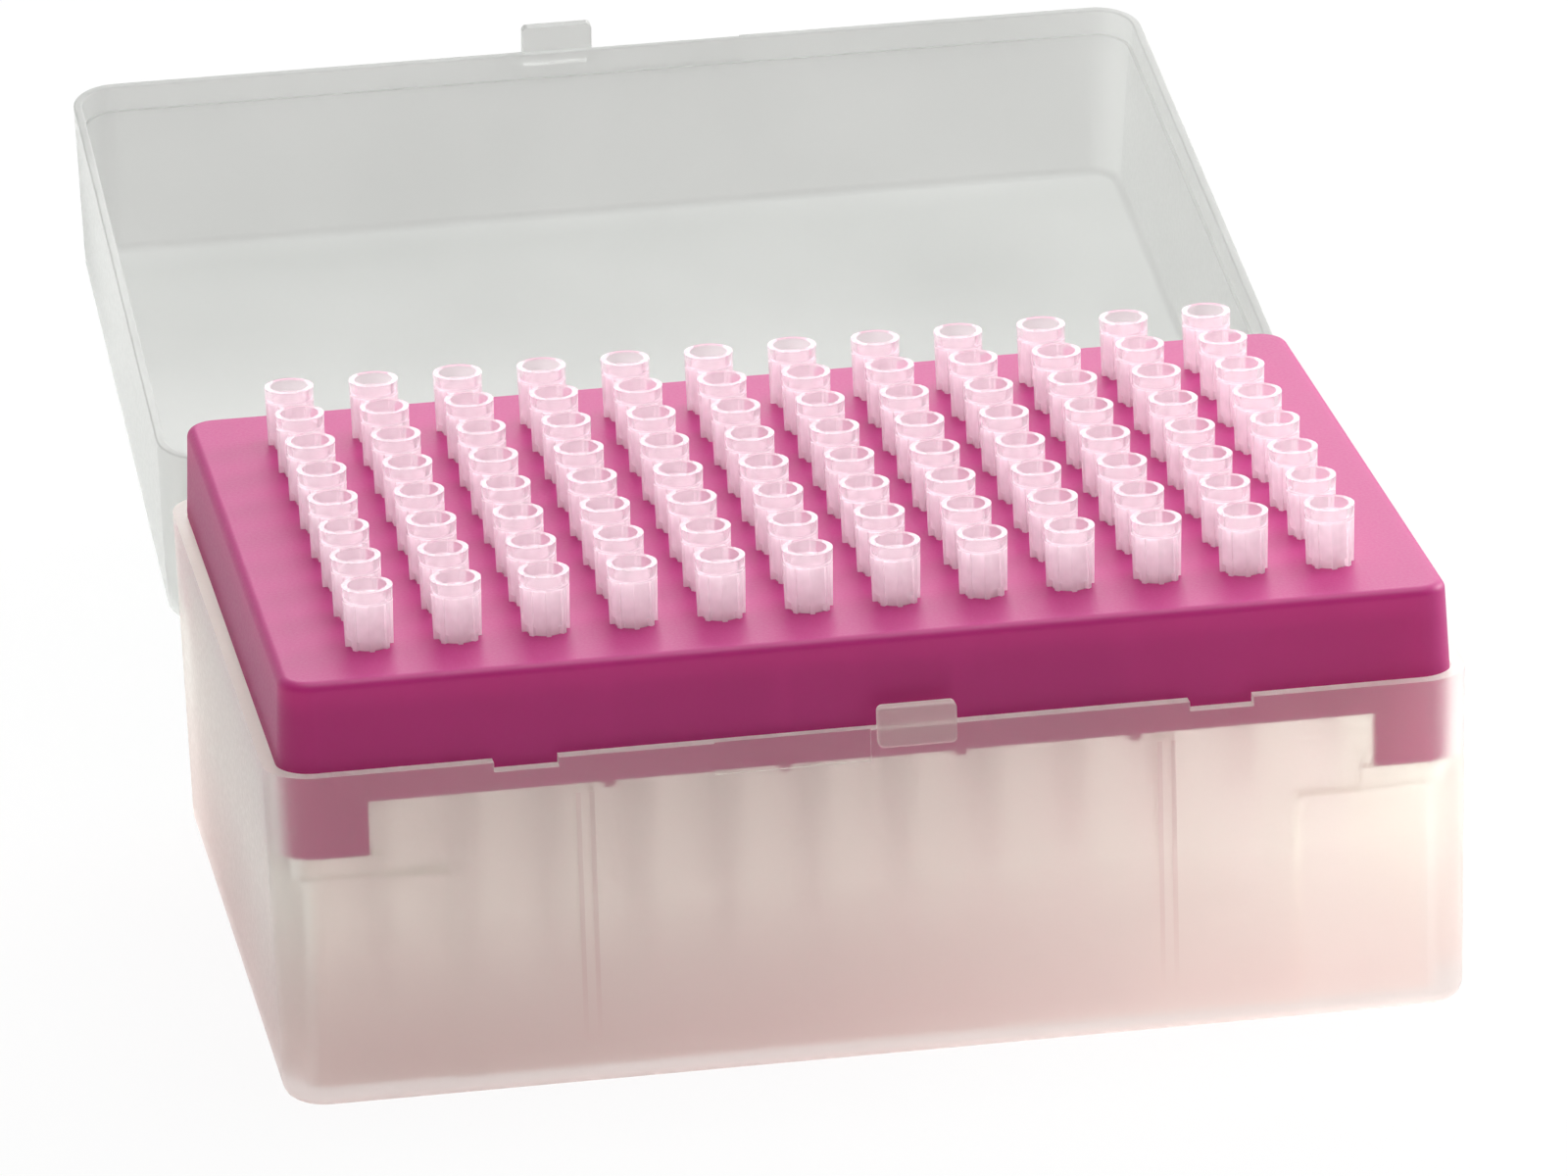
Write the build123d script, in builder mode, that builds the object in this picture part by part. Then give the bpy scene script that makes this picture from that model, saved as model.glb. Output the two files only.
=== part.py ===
from build123d import *
from math import atan2, cos, degrees, radians, sin
import os

# A hinged box of pipette tips in the 96-place format: a frosted base box, a rack that stands
# inside it on four corner legs, eight rows of twelve tips hanging in the rack, and a lid.
# Millimetres. Z is up and the origin is the centre of the base's underside. The latch side of
# the box faces -Y and the hinge is along X at the back.

os.makedirs("parts", exist_ok=True)

# Driving dimensions.
# The grid of tips.
columns = 12
rows = 8
pitch = 9.0

# One tip: a ribbed collar that stands on the deck, and a long tapered stem below it.
tip_length = 44.0
collar_height = 6.4
collar_mouth_d = 5.2
collar_foot_d = 4.9
collar_tube_d = 4.5
mouth_band = 1.5
tip_rib_count = 8
tip_rib_thickness = 0.5
tip_foot_height = 0.9
mouth_bore_d = 4.0
stem_top_d = 3.8
stem_knee_d = 2.4
stem_knee_drop = 14.0
tip_end_d = 1.0
end_bore_d = 0.5
stem_wall = 0.45

# The rack: a deck with a skirt round it.
deck_length = 119.6
deck_width = 83.4
deck_z = 45.5
deck_thickness = 1.6
deck_edge_r = 1.0
skirt_draft = 0.45
skirt_corner_r = 3.6
rack_wall = 1.2
band_depth = 3.4
leg_depth = 9.2
leg_run = 8.6
hole_clearance = 0.2
sleeve_d = 5.6
sleeve_length = 2.4
rib_thickness = 1.2
rib_overhang = 1.0
rib_reach = 3

# The base box.
rim_z = 36.2
base_wall = 1.4
base_floor = 1.6
base_draft = 0.6
base_edge_r = 2.0
well_edge_r = 1.2
rack_clearance = 0.15
pad_run = 10.2
pad_step = 2.6
ledge_run_x = 16.7
ledge_run_y = 12.0
ledge_extra = 0.9
wall_rib_x = 29.8
wall_rib_width = 1.9
wall_rib_depth = 0.7
wall_rib_foot = 5.0
wall_rib_gap = 0.6
notch_x = 35.6
notch_width = 6.6
notch_depth = 1.0

# The lid, which carries on upwards from the rim when it is shut.
lid_height = 21.9
lid_wall = 1.3
lid_draft = 0.8
lid_edge_r = 2.0
free_edge_r = 0.2
lid_inner_r = 1.0
rebate_height = 3.0
rebate_depth = 0.3
lid_open_angle = 169.5

# The latch: each half has a moulded tab that clips over a shallow recess in the other.
tab_thickness = 1.3
tab_clearance = 0.15
tab_corner_r = 0.6
tab_edge_r = 0.3
recess_depth = 0.4
base_tab_x = 4.15
base_tab_width = 8.1
base_tab_above = 2.6
base_tab_below = 1.75
base_recess_x = -8.5
base_recess_width = 16.0
base_recess_height = 3.4
lid_tab_x = -5.5
lid_tab_width = 8.0
lid_tab_reach = 3.0
lid_tab_root = 1.75
lid_recess_x = 7.1
lid_recess_width = 17.2
lid_recess_height = 3.0

# The hinge: two pairs of ears on the base, each with a pin that a hook on the lid snaps over.
hinge_x = 36.0
hinge_out = 2.4
hinge_rise = 1.0
pin_r = 1.1
pin_clearance = 0.05
hook_wall = 0.95
hook_width = 8.0
hook_mouth = 1.7
hook_gusset = 5.0
ear_thickness = 2.2
ear_side_gap = 0.3
ear_r = 2.2
ear_foot = 10.0
stop_clearance = 0.1
stop_from = 3.5
stop_to = 7.5

# Sizes that follow.
skirt_length = deck_length + 2 * skirt_draft
skirt_width = deck_width + 2 * skirt_draft
well_length = skirt_length + 2 * rack_clearance
well_width = skirt_width + 2 * rack_clearance
rim_length = well_length + 2 * base_wall
rim_width = well_width + 2 * base_wall
well_corner_r = skirt_corner_r + rack_clearance
rim_corner_r = well_corner_r + base_wall
base_angle = degrees(atan2(base_draft, rim_z))
skirt_angle = degrees(atan2(skirt_draft, deck_z - rim_z))
lid_angle = degrees(atan2(lid_draft, lid_height))
band_z = rim_z - band_depth
leg_foot_z = rim_z - leg_depth
hinge_y = rim_width / 2 + hinge_out
hinge_z = rim_z + hinge_rise
front_y = -rim_width / 2
tab_plane = Plane.XZ.offset(tab_clearance - recess_depth - front_y)
hinge_axis = Axis((0, hinge_y, hinge_z), (1, 0, 0))
hinge_plane = Plane(origin=(0, hinge_y, hinge_z), x_dir=(0, 1, 0), z_dir=(1, 0, 0))


def save(solid, name):
    """Label a finished piece and write it under its node's name."""
    solid.label = name
    export_step(solid, f"parts/{name}.step")


def open_back(height, gap):
    """Point, seen from the hinge axis, that lies a gap in front of the open lid's rear wall,
    at a given height of that wall when the lid is shut."""
    shut_y = -hinge_out - lid_draft * height / lid_height + gap
    shut_z = height - hinge_rise
    turn = radians(-lid_open_angle)
    return (shut_y * cos(turn) - shut_z * sin(turn), shut_y * sin(turn) + shut_z * cos(turn))


# Base box: drafted walls, a flat underside and a rounded bottom edge.
with BuildPart() as base_box:
    with BuildSketch(Plane.XY.offset(rim_z)):
        RectangleRounded(rim_length, rim_width, rim_corner_r)
    extrude(amount=-rim_z, taper=base_angle)
    fillet(base_box.faces().sort_by(Axis.Z)[0].edges(), radius=base_edge_r)
    with BuildSketch(Plane.XY.offset(rim_z)):
        RectangleRounded(well_length, well_width, well_corner_r)
    extrude(amount=base_floor - rim_z, taper=base_angle, mode=Mode.SUBTRACT)
    fillet(base_box.faces().filter_by(Axis.Z).sort_by(Axis.Z)[1].edges(), radius=well_edge_r)

    # The walls are thicker in the corners, in two steps. The rack's legs stand on the upper step.
    pad_inset = rack_clearance + rack_wall + rack_clearance
    pad_outline = base_wall / 2 - base_draft / 2
    for top, inset, run_x, run_y in (
        (leg_foot_z, pad_inset, pad_run, pad_run),
        (leg_foot_z - pad_step, pad_inset + ledge_extra, ledge_run_x, ledge_run_y),
    ):
        with BuildSketch(Plane.XY.offset(base_floor / 2)):
            RectangleRounded(well_length + 2 * pad_outline, well_width + 2 * pad_outline, well_corner_r)
            inner = inset + base_draft / 2
            RectangleRounded(
                well_length - 2 * inner, well_width - 2 * inner, well_corner_r - inner, mode=Mode.SUBTRACT
            )
            Rectangle(well_length - 2 * run_x, rim_width, mode=Mode.SUBTRACT)
            Rectangle(rim_length, well_width - 2 * run_y, mode=Mode.SUBTRACT)
        extrude(amount=top - base_floor / 2)

    # Upright ribs inside the front and back walls, ending under the rack's band.
    wall_rib_height = band_z - wall_rib_gap - wall_rib_foot
    wall_rib_y = well_width / 2 - base_draft / 2
    for side in (-1, 1):
        with Locations(
            (-wall_rib_x, side * wall_rib_y, wall_rib_foot + wall_rib_height / 2),
            (wall_rib_x, side * wall_rib_y, wall_rib_foot + wall_rib_height / 2),
        ):
            Box(wall_rib_width, 2 * wall_rib_depth, wall_rib_height)

    # Two shallow notches in the front rim, and the recess that the lid's tab drops in front of.
    with Locations((-notch_x, front_y, rim_z), (notch_x, front_y, rim_z)):
        Box(notch_width, 4 * base_wall, 2 * notch_depth, mode=Mode.SUBTRACT)
    with Locations((base_recess_x, front_y, rim_z)):
        Box(base_recess_width, 2 * recess_depth, 2 * base_recess_height, mode=Mode.SUBTRACT)

    # Latch tab, standing on the front of the rim.
    with BuildSketch(tab_plane):
        with Locations((base_tab_x, rim_z + (base_tab_above - base_tab_below) / 2)):
            RectangleRounded(base_tab_width, base_tab_above + base_tab_below, tab_corner_r)
    extrude(amount=tab_thickness)
    fillet(base_box.faces().filter_by(Axis.Y).sort_by(Axis.Y)[0].edges(), radius=tab_edge_r)

    # Hinge ears. Their backs lie just in front of the open lid's rear wall, which rests there.
    ear_gap = hook_width / 2 + ear_side_gap
    ear_places = [
        side * hinge_x + offset
        for side in (-1, 1)
        for offset in (-ear_gap - ear_thickness, ear_gap)
    ]
    for ear_x in ear_places:
        with BuildSketch(hinge_plane.offset(ear_x)):
            Circle(ear_r)
            with BuildLine():
                Polyline(
                    (-hinge_out - base_wall / 2, -hinge_rise - ear_side_gap),
                    (0, -hinge_rise - ear_side_gap),
                    (ear_r, 0),
                    open_back(stop_from, stop_clearance),
                    open_back(stop_to, stop_clearance),
                    (-hinge_out - base_wall / 2, -hinge_rise - ear_foot),
                    close=True,
                )
            make_face()
        extrude(amount=ear_thickness)
    for side in (-1, 1):
        with BuildSketch(hinge_plane.offset(side * hinge_x - ear_gap)):
            Circle(pin_r)
        extrude(amount=2 * ear_gap)

save(base_box.part, "base_box")

# Tip rack: the skirt leans out from the deck to the rim and then follows the well's walls down.
with BuildPart() as tip_rack:
    with BuildSketch(Plane.XY.offset(rim_z)):
        RectangleRounded(skirt_length, skirt_width, skirt_corner_r)
    extrude(amount=deck_z - rim_z, taper=skirt_angle)
    fillet(tip_rack.faces().sort_by(Axis.Z)[-1].edges(), radius=deck_edge_r)
    with BuildSketch(Plane.XY.offset(rim_z)):
        RectangleRounded(skirt_length, skirt_width, skirt_corner_r)
    extrude(amount=-leg_depth, taper=base_angle)
    with BuildSketch(Plane.XY.offset(rim_z)):
        RectangleRounded(skirt_length - 2 * rack_wall, skirt_width - 2 * rack_wall, skirt_corner_r - rack_wall)
    extrude(amount=deck_z - deck_thickness - rim_z, taper=skirt_angle, mode=Mode.SUBTRACT)
    with BuildSketch(Plane.XY.offset(rim_z)):
        RectangleRounded(skirt_length - 2 * rack_wall, skirt_width - 2 * rack_wall, skirt_corner_r - rack_wall)
    extrude(amount=-leg_depth, taper=base_angle, mode=Mode.SUBTRACT)

    # Below the band only the four corner legs are left.
    with BuildSketch(Plane.XY.offset(leg_foot_z)):
        Rectangle(skirt_length - 2 * leg_run, rim_width)
        Rectangle(rim_length, skirt_width - 2 * leg_run)
    extrude(amount=band_z - leg_foot_z, mode=Mode.SUBTRACT)

    # Ribs run from front to back under the deck, between columns.
    rib_top = deck_z - deck_thickness / 2
    rib_bottom = band_z - rib_overhang
    for place in range(-rib_reach, rib_reach + 1, 2):
        with Locations((place * pitch, 0, (rib_top + rib_bottom) / 2)):
            Box(rib_thickness, skirt_width - 2 * skirt_draft - rack_wall, rib_top - rib_bottom)

    # A sleeve under every hole keeps its tip upright.
    with BuildSketch(Plane.XY.offset(deck_z - deck_thickness / 2)):
        with GridLocations(pitch, pitch, columns, rows):
            Circle(sleeve_d / 2)
    extrude(amount=-deck_thickness / 2 - sleeve_length)
    with BuildSketch(Plane.XY.offset(deck_z)):
        with GridLocations(pitch, pitch, columns, rows):
            Circle(stem_top_d / 2 + hole_clearance)
    extrude(amount=-deck_thickness - sleeve_length, mode=Mode.SUBTRACT)

save(tip_rack.part, "tip_rack")

# One tip, hollow from end to end, turned about its own axis with its feet at z = 0.
stem_length = tip_length - collar_height
with BuildPart() as tip:
    with BuildSketch(Plane.XZ):
        with BuildLine():
            Polyline(
                (mouth_bore_d / 2, collar_height),
                (collar_mouth_d / 2, collar_height),
                (collar_foot_d / 2, 0),
                (stem_top_d / 2, 0),
                (stem_knee_d / 2, -stem_knee_drop),
                (tip_end_d / 2, -stem_length),
                (end_bore_d / 2, -stem_length),
                (stem_knee_d / 2 - stem_wall, -stem_knee_drop),
                (stem_top_d / 2 - stem_wall, 0),
                close=True,
            )
        make_face()
    revolve(axis=Axis.Z)

    # Grooves leave upright ribs below the band at the mouth. They are deeper next to the deck,
    # where the ribs end in separate feet with the bare stem between them.
    for groove_floor_d, groove_height in (
        (collar_tube_d, collar_height - mouth_band),
        (stem_top_d, tip_foot_height),
    ):
        with BuildSketch(Plane.XY):
            Circle(collar_mouth_d / 2)
            Circle(groove_floor_d / 2, mode=Mode.SUBTRACT)
            with PolarLocations(collar_mouth_d / 4, tip_rib_count):
                Rectangle(collar_mouth_d / 2, tip_rib_thickness, mode=Mode.SUBTRACT)
        extrude(amount=groove_height, mode=Mode.SUBTRACT)

# The tips are grouped by column, as a multichannel pipette picks them up.
for column in range(columns):
    column_x = (column - (columns - 1) / 2) * pitch
    with BuildPart() as tips_column:
        with Locations((column_x, 0, deck_z)):
            with GridLocations(pitch, pitch, 1, rows):
                add(tip.part)
    save(tips_column.part, f"tips_column_{column + 1:02d}")

# Lid: modelled shut, standing on the rim, and then swung open about the hinge axis.
with BuildPart() as lid:
    with BuildSketch(Plane.XY.offset(rim_z)):
        RectangleRounded(rim_length, rim_width, rim_corner_r)
    extrude(amount=lid_height, taper=lid_angle)
    fillet(lid.faces().sort_by(Axis.Z)[-1].edges(), radius=lid_edge_r)
    fillet(lid.faces().sort_by(Axis.Z)[0].edges(), radius=free_edge_r)
    with BuildSketch(Plane.XY.offset(rim_z)):
        RectangleRounded(rim_length - 2 * lid_wall, rim_width - 2 * lid_wall, rim_corner_r - lid_wall)
    extrude(amount=lid_height - lid_wall, taper=lid_angle, mode=Mode.SUBTRACT)
    fillet(lid.faces().filter_by(Axis.Z).sort_by(Axis.Z)[1].edges(), radius=lid_inner_r)

    # A rebate inside the free edge gives the rack's skirt room.
    rebate_wall = lid_wall - rebate_depth
    with BuildSketch(Plane.XY.offset(rim_z)):
        RectangleRounded(rim_length - 2 * rebate_wall, rim_width - 2 * rebate_wall, rim_corner_r - rebate_wall)
    extrude(amount=rebate_height, mode=Mode.SUBTRACT)
    fillet(lid.faces().sort_by(Axis.Z)[0].inner_wires()[0].edges(), radius=free_edge_r)

    # The recess for the base's tab, and the tab that hangs past the free edge.
    with Locations((lid_recess_x, front_y, rim_z)):
        Box(lid_recess_width, 2 * recess_depth, 2 * lid_recess_height, mode=Mode.SUBTRACT)
    with BuildSketch(tab_plane):
        with Locations((lid_tab_x, rim_z + (lid_tab_root - lid_tab_reach) / 2)):
            RectangleRounded(lid_tab_width, lid_tab_root + lid_tab_reach, tab_corner_r)
    extrude(amount=tab_thickness)
    fillet(lid.faces().filter_by(Axis.Y).sort_by(Axis.Y)[0].edges(), radius=tab_edge_r)

    # Hooks that snap down over the pins, each on an arm with a gusset up the rear wall.
    hook_r = pin_r + pin_clearance + hook_wall
    arm_root = -hinge_out - lid_wall / 2
    for side in (-1, 1):
        hook_plane = hinge_plane.offset(side * hinge_x - hook_width / 2)
        with BuildSketch(hook_plane):
            Circle(hook_r)
            with BuildLine():
                Polyline(
                    (arm_root, -hinge_rise),
                    (0, -hinge_rise),
                    (0, hook_r),
                    (arm_root, hook_r + hook_gusset),
                    close=True,
                )
            make_face()
        extrude(amount=hook_width)
        with BuildSketch(hook_plane):
            Circle(pin_r + pin_clearance)
            with Locations((0, -hook_r)):
                Rectangle(hook_mouth, 2 * hook_r)
        extrude(amount=hook_width, mode=Mode.SUBTRACT)

save(lid.part.rotate(hinge_axis, -lid_open_angle), "lid")
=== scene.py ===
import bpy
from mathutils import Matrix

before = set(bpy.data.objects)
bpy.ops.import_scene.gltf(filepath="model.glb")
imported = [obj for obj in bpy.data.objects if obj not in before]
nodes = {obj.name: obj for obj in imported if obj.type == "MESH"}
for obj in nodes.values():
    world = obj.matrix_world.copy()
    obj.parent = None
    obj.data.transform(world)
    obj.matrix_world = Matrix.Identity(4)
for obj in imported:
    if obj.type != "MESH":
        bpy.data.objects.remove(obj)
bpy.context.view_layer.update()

from math import cos, radians, sin

import bmesh
import bpy
from mathutils import Quaternion, Vector

# ---------------------------------------------------------------------------
# Base box: one thin-walled moulding in natural polypropylene, drafted so that it leaves its
# mould. The tool is blasted, which gives the plastic its frost: what touches the wall shows
# through it, and what stands further back melts into a glow.
millimetre = 0.001


def colour(code):
    """Linear colour of an sRGB hex code."""
    parts = [int(code[place : place + 2], 16) / 255 for place in (1, 3, 5)]
    linear = [
        part / 12.92 if part <= 0.04045 else ((part + 0.055) / 1.055) ** 2.4 for part in parts
    ]
    return [*linear, 1.0]


def add_node(tree, kind, sockets=None, **settings):
    """Adds a shader node. A socket given another node's output is linked, otherwise it is set."""
    made = tree.nodes.new("ShaderNode" + kind)
    for name, value in settings.items():
        setattr(made, name, value)
    for name, value in (sockets or {}).items():
        if isinstance(value, bpy.types.NodeSocket):
            tree.links.new(value, made.inputs[name])
        else:
            made.inputs[name].default_value = value
    return made


def start_material(name):
    """An empty node material, its tree and its output node."""
    material = bpy.data.materials.new(name)
    material.use_nodes = True
    material.node_tree.nodes.clear()
    output = add_node(material.node_tree, "OutputMaterial")
    return material, material.node_tree, output


# A noise keeps mostly between these two levels, so they are taken as its whole range.
noise_least = 0.3
noise_most = 0.7

polypropylene_ior = 1.49
melt_flow = 28 * millimetre
blast_grain = 0.6 * millimetre
grain_depth = 0.02 * millimetre
blast_relief = 0.3
frost_spread = 0.05
thick_or_shaded_milk = 0.25


def frosted_polypropylene(
    name,
    thin_tint,
    milk_tint,
    milk_least,
    milk_most,
    frost,
    shade_tint,
    thick_or_shaded_tint=None,
    thickness_and_shade=None,
):
    """Thin translucent polypropylene from a blasted mould. Part of the light passes, blurred by
    the frosted faces, and a milky share, which varies gently where the melt flowed, scatters it
    to both sides. Where the moulding looks thicker, and where a shade is painted in, it is milkier
    and deeper in colour. The blasted grain is too fine to show at its real size, and is drawn
    coarser."""
    material, tree, output = start_material(name)
    place = add_node(tree, "TexCoord")
    thick_or_shaded = thickness_and_shade(tree, place) if thickness_and_shade else 0.0
    flow = add_node(
        tree,
        "TexNoise",
        {
            "Vector": place.outputs["Object"],
            "Scale": 1 / melt_flow,
            "Detail": 2.0,
            "Roughness": 0.4,
        },
    )
    milk = add_node(
        tree,
        "MapRange",
        {
            "Value": flow.outputs[0],
            "From Min": noise_least,
            "From Max": noise_most,
            "To Min": milk_least,
            "To Max": milk_most,
        },
    )
    milk_share = add_node(
        tree, "Math", {0: thick_or_shaded, 1: thick_or_shaded_milk, 2: milk.outputs[0]}, operation="MULTIPLY_ADD"
    )
    # The deeper tint is laid on thicker-looking plastic and also as painted shade, where one is
    # given.
    tint = add_node(
        tree, "MixRGB", {0: thick_or_shaded, 1: colour(thin_tint), 2: colour(thick_or_shaded_tint or thin_tint)}
    )
    blasting = add_node(
        tree,
        "TexNoise",
        {"Vector": place.outputs["Object"], "Scale": 1 / blast_grain, "Detail": 2.0},
    )
    relief = add_node(
        tree,
        "Bump",
        {"Height": blasting.outputs[0], "Strength": blast_relief, "Distance": grain_depth},
    )
    frost_level = add_node(
        tree,
        "MapRange",
        {
            "Value": blasting.outputs[0],
            "From Min": noise_least,
            "From Max": noise_most,
            "To Min": frost - frost_spread,
            "To Max": frost + frost_spread,
        },
    )
    clear = add_node(
        tree,
        "BsdfPrincipled",
        {
            "Base Color": tint.outputs[0],
            "Roughness": frost_level.outputs[0],
            "IOR": polypropylene_ior,
            "Transmission Weight": 1.0,
        },
    )
    scatter = {"Color": colour(milk_tint), "Normal": relief.outputs[0]}
    front = add_node(tree, "BsdfDiffuse", scatter)
    back = add_node(tree, "BsdfTranslucent", scatter)
    milky = add_node(tree, "MixShader", {0: 0.5, 1: front.outputs[0], 2: back.outputs[0]})
    plastic = add_node(
        tree, "MixShader", {0: milk_share.outputs[0], 1: clear.outputs[0], 2: milky.outputs[0]}
    )
    ray = add_node(tree, "LightPath")
    lets_by = add_node(tree, "BsdfTransparent", {"Color": colour(shade_tint)})
    lit = add_node(
        tree,
        "MixShader",
        {0: ray.outputs["Is Shadow Ray"], 1: plastic.outputs[0], 2: lets_by.outputs[0]},
    )
    tree.links.new(lit.outputs[0], output.inputs[0])
    return material


def dress(name, material):
    """Gives a CAD node's slots a finished material."""
    for slot in nodes[name].material_slots:
        slot.material = material


wall_rib_x = 29.8 * millimetre
wall_rib_width = 1.9 * millimetre
wall_rib_middle = 18.6 * millimetre
wall_rib_height = 27.2 * millimetre
wall_rib_edge = 0.5 * millimetre
rib_edge_share = 0.5
painted_shade_top = 20 * millimetre
painted_shade_bottom = 5 * millimetre
tab_root_y = -43.8 * millimetre


def base_thickness_and_shade(tree, place):
    """How much thicker the base's plastic looks, from 0 to 1, with a painted shade added in. Its
    walls are even, and are darkened and turned pinker towards the floor by a painted shade. Its
    latch tab and the edges of the ribs inside its long walls show as thicker plastic."""
    axes = add_node(tree, "SeparateXYZ", {0: place.outputs["Object"]})
    # Painted shade: from 20 mm down to 5 mm above the floor the walls take the deeper, pinker tint.
    painted_foot_shade = add_node(
        tree,
        "MapRange",
        {"Value": axes.outputs["Z"], "From Min": painted_shade_top, "From Max": painted_shade_bottom},
    )
    tab = add_node(tree, "Math", {0: axes.outputs["Y"], 1: tab_root_y}, operation="LESS_THAN")
    from_middle = add_node(tree, "Math", {0: axes.outputs["X"]}, operation="ABSOLUTE")
    from_rib = add_node(
        tree, "Math", {0: from_middle.outputs[0], 1: wall_rib_x}, operation="SUBTRACT"
    )
    beside_rib = add_node(tree, "Math", {0: from_rib.outputs[0]}, operation="ABSOLUTE")
    rib_edge = add_node(
        tree,
        "Math",
        {0: beside_rib.outputs[0], 1: (wall_rib_width - wall_rib_edge) / 2, 2: wall_rib_edge / 2},
        operation="COMPARE",
    )
    rib_run = add_node(
        tree,
        "Math",
        {0: axes.outputs["Z"], 1: wall_rib_middle, 2: wall_rib_height / 2},
        operation="COMPARE",
    )
    rib = add_node(
        tree, "Math", {0: rib_edge.outputs[0], 1: rib_run.outputs[0]}, operation="MULTIPLY"
    )
    faint_rib = add_node(tree, "Math", {0: rib.outputs[0], 1: rib_edge_share}, operation="MULTIPLY")
    rib_or_painted_shade = add_node(
        tree, "Math", {0: faint_rib.outputs[0], 1: painted_foot_shade.outputs[0]}, operation="ADD"
    )
    thick_or_shaded = add_node(
        tree,
        "Math",
        {0: rib_or_painted_shade.outputs[0], 1: tab.outputs[0]},
        operation="MAXIMUM",
        use_clamp=True,
    )
    return thick_or_shaded.outputs[0]


# The deeper pinkish tint serves the thicker-looking plastic and is also the painted shade towards
# the floor.
base_plastic = frosted_polypropylene(
    "frosted_natural_polypropylene",
    thin_tint="#FDFFF8",
    thick_or_shaded_tint="#DDCACA",
    milk_tint="#FAF7F0",
    milk_least=0.07,
    milk_most=0.12,
    frost=0.4,
    shade_tint="#FFFCFB",
    thickness_and_shade=base_thickness_and_shade,
)
dress("base_box", base_plastic)

# ---------------------------------------------------------------------------
# Tip rack: a deck with its skirt, legs, ribs and sleeves moulded in one shot of magenta
# polypropylene. It has a satin finish, and stands loose on the pads in the base's corners.
pigment_flow = 22 * millimetre
satin_grain = 0.35 * millimetre
satin_relief = 0.25
satin_least = 0.42
satin_most = 0.52
moulded_edge = 0.3 * millimetre
glow_share = 0.15


def magenta_polypropylene():
    """Pigmented polypropylene with a satin moulded face, which spreads the lamps' sheen wide and
    softens it. A little light glows through from behind, and a wall is one sheet to it: its inner
    side is left out. The grain is too fine to show at its real size, and is drawn coarser."""
    material, tree, output = start_material("magenta_polypropylene")
    place = add_node(tree, "TexCoord")
    grain = add_node(
        tree,
        "TexNoise",
        {"Vector": place.outputs["Object"], "Scale": 1 / satin_grain, "Detail": 3.0},
    )
    flow = add_node(
        tree,
        "TexNoise",
        {"Vector": place.outputs["Object"], "Scale": 1 / pigment_flow, "Detail": 2.0},
    )
    pigment = add_node(
        tree,
        "MixRGB",
        {0: flow.outputs[0], 1: colour("#A81B70"), 2: colour("#B02378")},
    )
    satin = add_node(
        tree,
        "MapRange",
        {
            "Value": grain.outputs[0],
            "From Min": noise_least,
            "From Max": noise_most,
            "To Min": satin_least,
            "To Max": satin_most,
        },
    )
    edge = add_node(tree, "Bevel", {"Radius": moulded_edge}, samples=6)
    relief = add_node(
        tree,
        "Bump",
        {
            "Height": grain.outputs[0],
            "Strength": satin_relief,
            "Distance": grain_depth,
            "Normal": edge.outputs[0],
        },
    )
    plastic = add_node(
        tree,
        "BsdfPrincipled",
        {
            "Base Color": pigment.outputs[0],
            "Roughness": satin.outputs[0],
            "IOR": polypropylene_ior,
            "Normal": relief.outputs[0],
        },
    )
    glow = add_node(tree, "BsdfTranslucent", {"Color": colour("#FF4FA0")})
    face = add_node(tree, "MixShader", {0: glow_share, 1: plastic.outputs[0], 2: glow.outputs[0]})
    way_out = add_node(tree, "BsdfTransparent")
    side = add_node(tree, "NewGeometry")
    body = add_node(
        tree,
        "MixShader",
        {0: side.outputs["Backfacing"], 1: face.outputs[0], 2: way_out.outputs[0]},
    )
    ray = add_node(tree, "LightPath")
    lets_by = add_node(tree, "BsdfTransparent", {"Color": colour("#C04080")})
    lit = add_node(
        tree,
        "MixShader",
        {0: ray.outputs["Is Shadow Ray"], 1: body.outputs[0], 2: lets_by.outputs[0]},
    )
    tree.links.new(lit.outputs[0], output.inputs[0])
    return material


dress("tip_rack", magenta_polypropylene())

# ---------------------------------------------------------------------------
# Tips: ninety-six hollow tips, each one thin moulding in natural polypropylene. They hang in
# the rack's holes and stand on the feet of their ribbed collars.
deck_top = 45.5 * millimetre
rib_top = 50.4 * millimetre
milk_edge = 0.2 * millimetre
tip_flow = 2.5 * millimetre
thin_milk = 0.2
cloud_least = 0.52
cloud_most = 0.66
polish_least = 0.12
polish_most = 0.2
tip_ior = 1.25


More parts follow.
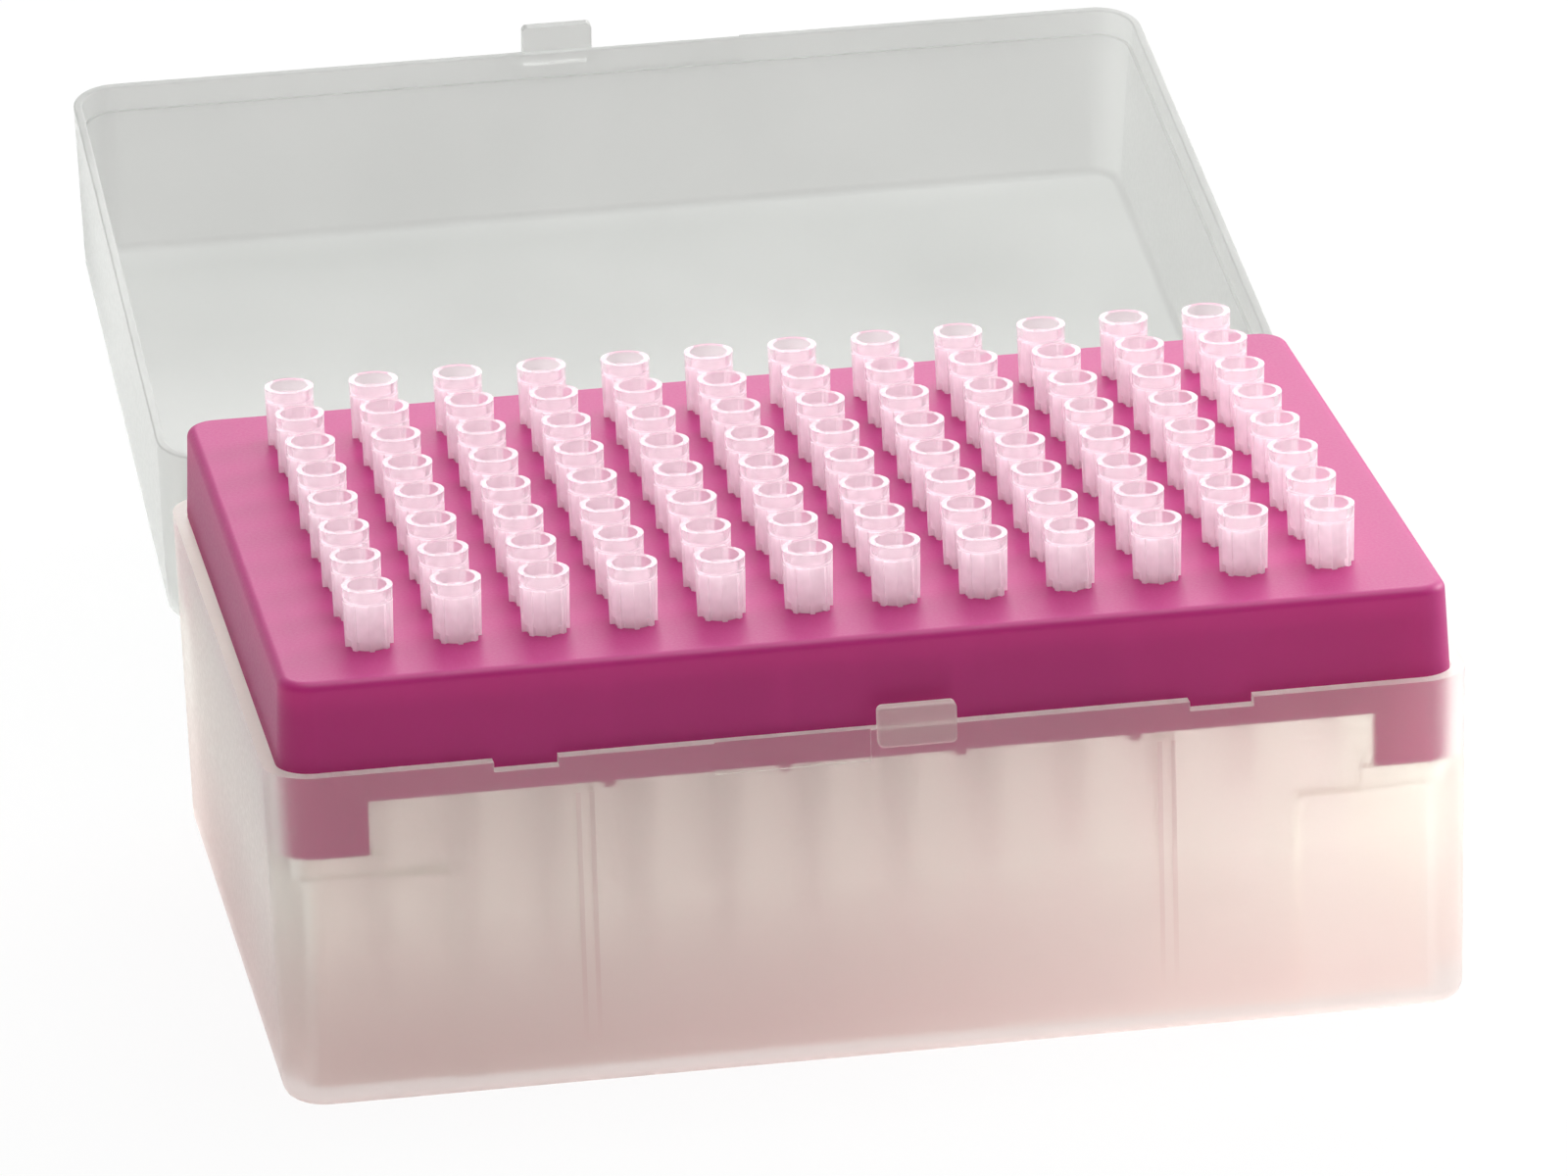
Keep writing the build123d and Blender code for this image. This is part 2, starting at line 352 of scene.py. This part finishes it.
def tip_polypropylene():
    """Natural polypropylene from a polished mould. The thin stem and the band at the mouth are
    mostly clear, and the thicker ribbed part of the collar is clouded with milk. The IOR is below
    the plastic's usual 1.49, so that the thin walls bend what is behind them less."""
    material, tree, output = start_material("natural_tip_polypropylene")
    place = add_node(tree, "TexCoord")
    height = add_node(tree, "SeparateXYZ", {0: place.outputs["Object"]})
    above_deck = add_node(
        tree,
        "MapRange",
        {"Value": height.outputs["Z"], "From Min": deck_top - milk_edge, "From Max": deck_top},
    )
    below_band = add_node(
        tree,
        "MapRange",
        {"Value": height.outputs["Z"], "From Min": rib_top + milk_edge, "From Max": rib_top},
    )
    ribbed = add_node(
        tree, "Math", {0: above_deck.outputs[0], 1: below_band.outputs[0]}, operation="MULTIPLY"
    )
    flow = add_node(
        tree,
        "TexNoise",
        {"Vector": place.outputs["Object"], "Scale": 1 / tip_flow, "Detail": 2.0},
    )
    cloud = add_node(
        tree,
        "MapRange",
        {
            "Value": flow.outputs[0],
            "From Min": noise_least,
            "From Max": noise_most,
            "To Min": cloud_least,
            "To Max": cloud_most,
        },
    )
    milk = add_node(
        tree,
        "MapRange",
        {"Value": ribbed.outputs[0], "To Min": thin_milk, "To Max": cloud.outputs[0]},
    )
    polish = add_node(
        tree,
        "MapRange",
        {
            "Value": flow.outputs[0],
            "From Min": noise_least,
            "From Max": noise_most,
            "To Min": polish_least,
            "To Max": polish_most,
        },
    )
    tint = add_node(
        tree, "MixRGB", {0: above_deck.outputs[0], 1: colour("#FFFFFF"), 2: colour("#F2EAED")}
    )
    clear = add_node(
        tree,
        "BsdfPrincipled",
        {
            "Base Color": tint.outputs[0],
            "Roughness": polish.outputs[0],
            "IOR": tip_ior,
            "Transmission Weight": 1.0,
        },
    )
    scatter = {"Color": colour("#F8F0F3")}
    front = add_node(tree, "BsdfDiffuse", scatter)
    back = add_node(tree, "BsdfTranslucent", scatter)
    milky = add_node(tree, "MixShader", {0: 0.5, 1: front.outputs[0], 2: back.outputs[0]})
    plastic = add_node(
        tree, "MixShader", {0: milk.outputs[0], 1: clear.outputs[0], 2: milky.outputs[0]}
    )
    ray = add_node(tree, "LightPath")
    shade = add_node(
        tree, "MixRGB", {0: above_deck.outputs[0], 1: colour("#FFFFFF"), 2: colour("#CEC2C8")}
    )
    lets_by = add_node(tree, "BsdfTransparent", {"Color": shade.outputs[0]})
    lit = add_node(
        tree,
        "MixShader",
        {0: ray.outputs["Is Shadow Ray"], 1: plastic.outputs[0], 2: lets_by.outputs[0]},
    )
    tree.links.new(lit.outputs[0], output.inputs[0])
    return material


tip_plastic = tip_polypropylene()
for name in nodes:
    if name.startswith("tips_column"):
        dress(name, tip_plastic)

# ---------------------------------------------------------------------------
# Lid: the same frosted moulding as the base in a clearer, cooler grade. Its hooks snap over the
# pins at the back, and it is laid right back on them.
lid_plastic = frosted_polypropylene(
    "clear_frosted_polypropylene",
    thin_tint="#F6F6F4",
    milk_tint="#C1C2C0",
    milk_least=0.42,
    milk_most=0.5,
    frost=0.35,
    shade_tint="#D8DAD9",
)
dress("lid", lid_plastic)

# ---------------------------------------------------------------------------
# Studio: a pale seamless floor and surround, a soft lamp overhead, one on the right that throws
# the tips' shadows to the left, and a large one behind that gives the deck its sheen.
bpy.context.scene.view_settings.view_transform = "Standard"
look_at = Vector((-0.00208, 0, 0.03606))

# The surround's light is full low down at the back and on the right, and dim in front and
# overhead. Its mirror image is full at the back and dim in front. Looked at straight or through
# the plastic, it is plain white. The limits are components of a direction's unit vector.
back_starts = -0.4
back_full = 0.7
right_full = 0.9
overhead_dim = 0.6
low_full = 0.1
least_light = 0.18
least_mirrored = 0.2

world = bpy.data.worlds.new("surround")
world.use_nodes = True
surround_tree = world.node_tree
surround_tree.nodes.clear()
direction = add_node(surround_tree, "TexCoord")
split = add_node(surround_tree, "SeparateXYZ", {0: direction.outputs["Generated"]})
behind = add_node(
    surround_tree,
    "MapRange",
    {"Value": split.outputs["Y"], "From Min": back_starts, "From Max": back_full},
    interpolation_type="SMOOTHSTEP",
)
to_right = add_node(
    surround_tree,
    "MapRange",
    {"Value": split.outputs["X"], "From Min": 0.0, "From Max": right_full},
    interpolation_type="SMOOTHSTEP",
)
around = add_node(
    surround_tree,
    "Math",
    {0: behind.outputs[0], 1: to_right.outputs[0]},
    operation="MAXIMUM",
)
low = add_node(
    surround_tree,
    "MapRange",
    {"Value": split.outputs["Z"], "From Min": overhead_dim, "From Max": low_full},
    interpolation_type="SMOOTHSTEP",
)
horizon = add_node(
    surround_tree, "Math", {0: low.outputs[0], 1: around.outputs[0]}, operation="MULTIPLY"
)
lighting = add_node(
    surround_tree, "MapRange", {"Value": horizon.outputs[0], "To Min": least_light, "To Max": 1.0}
)
mirrored = add_node(
    surround_tree, "MapRange", {"Value": behind.outputs[0], "To Min": least_mirrored, "To Max": 1.0}
)
seen = add_node(surround_tree, "LightPath")
lit_or_mirrored = add_node(
    surround_tree,
    "Mix",
    {0: seen.outputs["Is Glossy Ray"], 2: lighting.outputs[0], 3: mirrored.outputs[0]},
)
seen_whole = add_node(
    surround_tree,
    "Math",
    {0: seen.outputs["Is Camera Ray"], 1: seen.outputs["Is Transmission Ray"]},
    operation="MAXIMUM",
)
surround_level = add_node(
    surround_tree, "Mix", {0: seen_whole.outputs[0], 2: lit_or_mirrored.outputs[0], 3: 1.0}
)
surround = add_node(
    surround_tree, "Background", {"Color": colour("#FFFFFF"), "Strength": surround_level.outputs[0]}
)
add_node(surround_tree, "OutputWorld", {"Surface": surround.outputs[0]})
bpy.context.scene.world = world

# The floor's paper is white where it is looked at, straight, mirrored or through the plastic, and
# keeps a small share of its own shading, so that the object's shadow stays on it.
floor_half_width = 4
paper_white_share = 0.92

floor_mesh = bmesh.new()
bmesh.ops.create_grid(floor_mesh, x_segments=1, y_segments=1, size=floor_half_width)
floor_data = bpy.data.meshes.new("floor")
floor_mesh.to_mesh(floor_data)
floor_mesh.free()
floor = bpy.data.objects.new("floor", floor_data)
bpy.context.scene.collection.objects.link(floor)
paper, paper_tree, paper_out = start_material("seamless_paper")
paper_shade = add_node(paper_tree, "BsdfDiffuse", {"Color": colour("#E8E8E7")})
paper_white = add_node(paper_tree, "Emission", {"Color": colour("#FFFFFF"), "Strength": 1.0})
paper_seen = add_node(paper_tree, "LightPath")
paper_through = add_node(
    paper_tree,
    "Math",
    {0: paper_seen.outputs["Is Camera Ray"], 1: paper_seen.outputs["Is Transmission Ray"]},
    operation="MAXIMUM",
)
paper_shown = add_node(
    paper_tree,
    "Math",
    {0: paper_through.outputs[0], 1: paper_seen.outputs["Is Glossy Ray"]},
    operation="MAXIMUM",
)
paper_lift = add_node(
    paper_tree,
    "Math",
    {0: paper_shown.outputs[0], 1: paper_white_share},
    operation="MULTIPLY",
)
paper_mixed = add_node(
    paper_tree,
    "MixShader",
    {0: paper_lift.outputs[0], 1: paper_shade.outputs[0], 2: paper_white.outputs[0]},
)
paper_tree.links.new(paper_mixed.outputs[0], paper_out.inputs[0])
floor_data.materials.append(paper)


def add_lamp(name, place, size, power):
    """A square area lamp that faces the middle of the box."""
    lamp = bpy.data.objects.new(name, bpy.data.lights.new(name, "AREA"))
    lamp.data.size = size
    lamp.data.energy = power
    lamp.location = place
    lamp.rotation_mode = "QUATERNION"
    lamp.rotation_quaternion = (look_at - lamp.location).to_track_quat("-Z", "Y")
    bpy.context.scene.collection.objects.link(lamp)


add_lamp("key", place=Vector((1.0, 0.35, 0.48)), size=0.5, power=11.5)
add_lamp("overhead", place=Vector((0.1, 0.0, 1.2)), size=0.9, power=10)
add_lamp("back", place=Vector((0.5, 1.4, 0.9)), size=1.1, power=11)

# ---------------------------------------------------------------------------
# Camera: low over the latch side and a little to the left, from over a metre away, so the long
# lens keeps the box's edges nearly parallel.
view_azimuth = radians(8.886)
view_elevation = radians(20.076)
view_roll = radians(-1.814)
view_distance = 1.1812

forward = Vector((
    sin(view_azimuth) * cos(view_elevation),
    cos(view_azimuth) * cos(view_elevation),
    -sin(view_elevation),
))
camera = bpy.data.objects.new("camera", bpy.data.cameras.new("camera"))
camera.data.lens = 259.86
camera.data.sensor_width = 36
camera.data.clip_start = 0.1
camera.data.clip_end = 20
camera.rotation_mode = "QUATERNION"
camera.location = look_at - forward * view_distance
camera.rotation_quaternion = forward.to_track_quat("-Z", "Y") @ Quaternion((0, 0, 1), view_roll)
bpy.context.scene.collection.objects.link(camera)
bpy.context.scene.camera = camera
